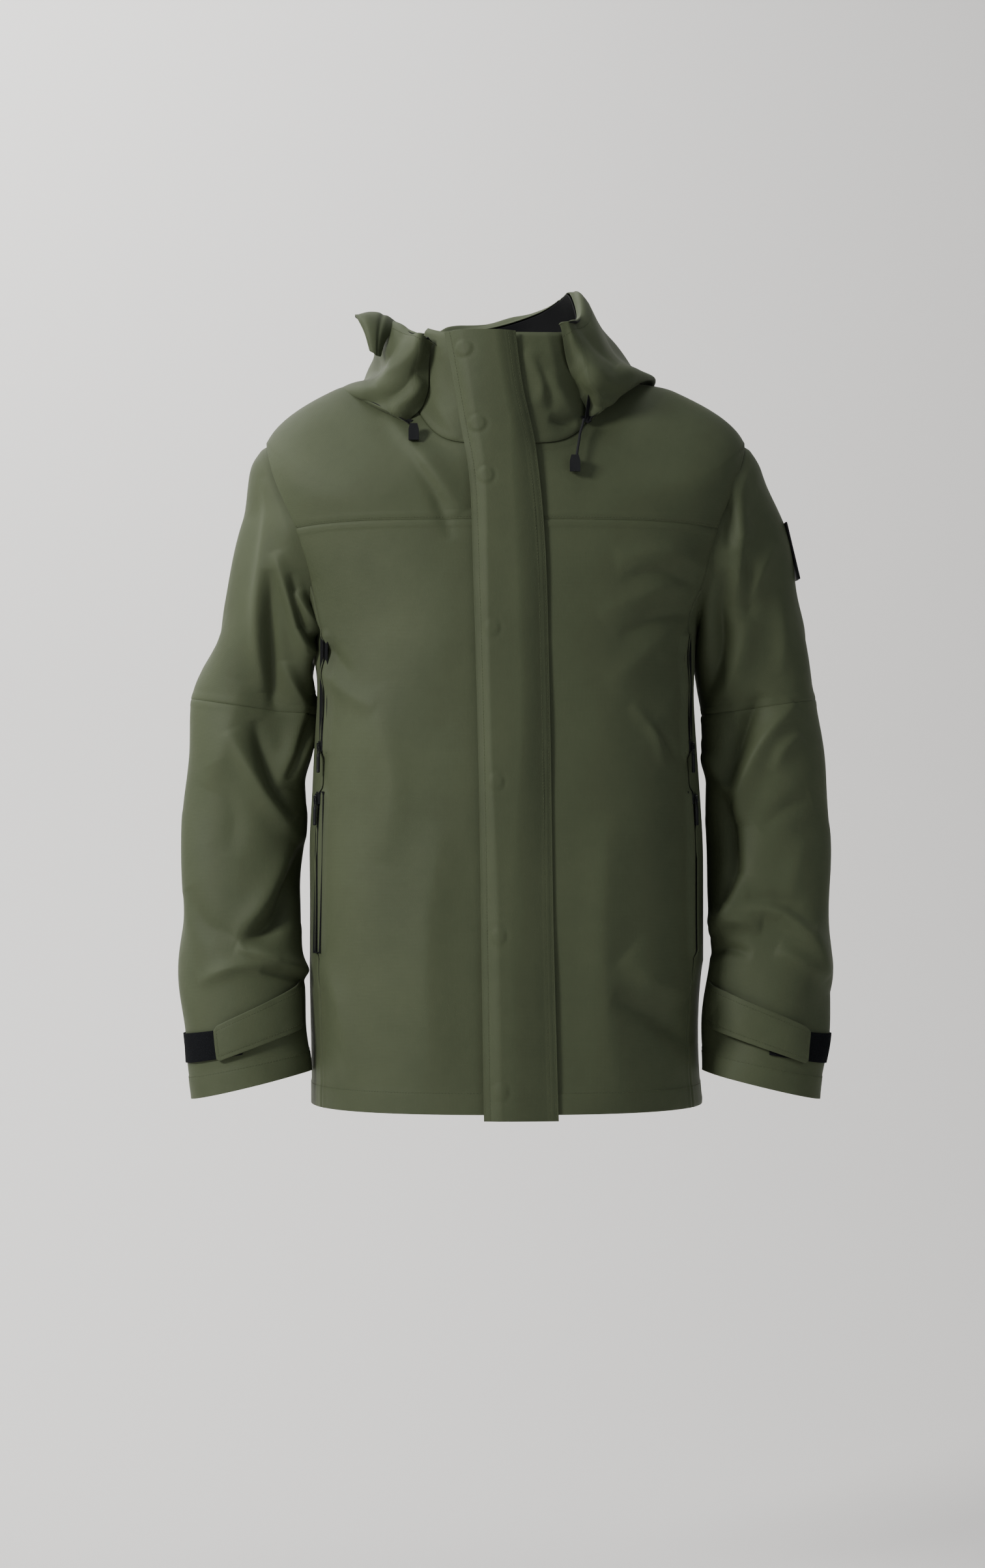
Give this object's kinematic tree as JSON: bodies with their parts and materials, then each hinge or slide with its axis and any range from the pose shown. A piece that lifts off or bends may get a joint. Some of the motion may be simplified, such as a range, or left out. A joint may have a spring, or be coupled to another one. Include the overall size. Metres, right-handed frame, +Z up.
{
  "type": "hardshell jacket",
  "caption": "Hooded waterproof shell jacket with a snap-down storm flap over its front zip, side zips, hand pockets and adjustable cuff tabs.",
  "frame": {"origin": "middle of the neck at the height of the nape, where the jacket hangs on a wearer, a form or a hanger", "axes": "+Z up along the body, -Y out of the front, +X to the wearer's left"},
  "size_m": [0.6456, 0.3535, 0.821],
  "materials": {
    "shell_fabric": "matte fine woven three-layer shell, forest green, soft sheen",
    "lining_fabric": "matte black tricot lining",
    "zip_tape": "black woven tape with a nylon coil",
    "zip_metal": "black enamelled cast slider",
    "pull_plastic": "black moulded grip",
    "snap_metal": "dark lacquered press snap",
    "hook_and_loop": "black looped pile",
    "badge_rubber": "plain black moulded badge",
    "cord": "black braided cord",
    "loop_tape": "black woven tape"
  },
  "bodies": {
    "shell": {"front_panel_right": "shell_fabric", "front_yoke_right": "shell_fabric", "side_panel_right": "shell_fabric", "collar_right": "shell_fabric", "pocket_bag_right": "lining_fabric", "hood_side_right": "shell_fabric", "upper_sleeve_right": "shell_fabric", "lower_sleeve_right": "shell_fabric", "cuff_strip_right": "hook_and_loop", "hand_zip_right_tape": "zip_tape", "pit_zip_right_tape": "zip_tape", "front_panel_left": "shell_fabric", "front_yoke_left": "shell_fabric", "side_panel_left": "shell_fabric", "collar_left": "shell_fabric", "pocket_bag_left": "lining_fabric", "hood_side_left": "shell_fabric", "upper_sleeve_left": "shell_fabric", "lower_sleeve_left": "shell_fabric", "cuff_strip_left": "hook_and_loop", "hand_zip_left_tape": "zip_tape", "pit_zip_left_tape": "zip_tape", "back_panel": "shell_fabric", "back_yoke": "shell_fabric", "hood_centre": "shell_fabric", "hood_lining": "lining_fabric", "hood_brim": "shell_fabric", "main_zip_tape": "zip_tape", "drawcord_left": "cord", "cord_toggle_left": "pull_plastic", "cord_toggle_right": "pull_plastic", "sleeve_badge": "badge_rubber", "hanger_loop": "loop_tape", "snap_stud_1": "snap_metal", "snap_stud_2": "snap_metal", "snap_stud_3": "snap_metal", "snap_stud_4": "snap_metal", "snap_stud_5": "snap_metal", "snap_stud_6": "snap_metal", "snap_stud_7": "snap_metal"},
    "flap": {"storm_flap": "shell_fabric", "snap_cap_1": "snap_metal", "snap_cap_2": "snap_metal", "snap_cap_3": "snap_metal", "snap_cap_4": "snap_metal", "snap_cap_5": "snap_metal", "snap_cap_6": "snap_metal", "snap_cap_7": "snap_metal"},
    "main_zip_slider": {"main_zip_slider": "zip_metal"},
    "main_zip_puller": {"main_zip_puller": "pull_plastic"},
    "hand_zip_right_slider": {"hand_zip_right_slider": "zip_metal"},
    "hand_zip_right_puller": {"hand_zip_right_puller": "pull_plastic"},
    "pit_zip_right_slider": {"pit_zip_right_slider": "zip_metal"},
    "pit_zip_right_puller": {"pit_zip_right_puller": "pull_plastic"},
    "hand_zip_left_slider": {"hand_zip_left_slider": "zip_metal"},
    "hand_zip_left_puller": {"hand_zip_left_puller": "pull_plastic"},
    "pit_zip_left_slider": {"pit_zip_left_slider": "zip_metal"},
    "pit_zip_left_puller": {"pit_zip_left_puller": "pull_plastic"},
    "cuff_tab_right": {"cuff_tab_right": "shell_fabric"},
    "cuff_tab_left": {"cuff_tab_left": "shell_fabric"}
  },
  "joints": [
    {"name": "storm_flap_hinge", "type": "hinge", "parent": "shell", "child": "flap", "pos_m": [0.02916, -0.14486, -0.33602], "axis": [-0.055, 0.0656, 0.9963], "range_deg": [0, 110]},
    {"name": "main_zip_slide", "type": "slide", "parent": "shell", "child": "main_zip_slider", "axis": [0.0344, -0.0689, -0.997], "range_m": [0, 0.715]},
    {"name": "main_zip_puller_swing", "type": "hinge", "parent": "main_zip_slider", "child": "main_zip_puller", "pos_m": [-0.00751, -0.12057, 0.02918], "axis": [-0.9994, -0.0024, -0.0343], "range_deg": [0, 4]},
    {"name": "hand_zip_right_slide", "type": "slide", "parent": "shell", "child": "hand_zip_right_slider", "axis": [-0.0196, -0.0335, -0.9992], "range_m": [0, 0.14]},
    {"name": "hand_zip_right_puller_swing", "type": "hinge", "parent": "hand_zip_right_slider", "child": "hand_zip_right_puller", "pos_m": [-0.18629, -0.07376, -0.40899], "axis": [-0.4459, 0.8948, -0.0213], "range_deg": [0, 150]},
    {"name": "pit_zip_right_slide", "type": "slide", "parent": "shell", "child": "pit_zip_right_slider", "axis": [0.009, 0.0337, 0.9994], "range_m": [0, 0.1]},
    {"name": "pit_zip_right_puller_swing", "type": "hinge", "parent": "pit_zip_right_slider", "child": "pit_zip_right_puller", "pos_m": [-0.18327, -0.07213, -0.3575], "axis": [-0.4579, 0.8886, -0.0259], "range_deg": [0, 150]},
    {"name": "hand_zip_left_slide", "type": "slide", "parent": "shell", "child": "hand_zip_left_slider", "axis": [0.0196, -0.0335, -0.9992], "range_m": [0, 0.14]},
    {"name": "hand_zip_left_puller_swing", "type": "hinge", "parent": "hand_zip_left_slider", "child": "hand_zip_left_puller", "pos_m": [0.18629, -0.07376, -0.40899], "axis": [-0.4459, -0.8948, 0.0213], "range_deg": [0, 150]},
    {"name": "pit_zip_left_slide", "type": "slide", "parent": "shell", "child": "pit_zip_left_slider", "axis": [-0.009, 0.0337, 0.9994], "range_m": [0, 0.1]},
    {"name": "pit_zip_left_puller_swing", "type": "hinge", "parent": "pit_zip_left_slider", "child": "pit_zip_left_puller", "pos_m": [0.18327, -0.07213, -0.3575], "axis": [-0.4579, -0.8886, 0.0259], "range_deg": [0, 150]},
    {"name": "cuff_tab_right_hinge", "type": "hinge", "parent": "shell", "child": "cuff_tab_right", "pos_m": [-0.19667, -0.05568, -0.60922], "axis": [-0.0656, 0.152, 0.9862], "range_deg": [0, 65]},
    {"name": "cuff_tab_left_hinge", "type": "hinge", "parent": "shell", "child": "cuff_tab_left", "pos_m": [0.19667, -0.05568, -0.60922], "axis": [-0.0656, -0.152, -0.9862], "range_deg": [0, 65]}
  ]
}
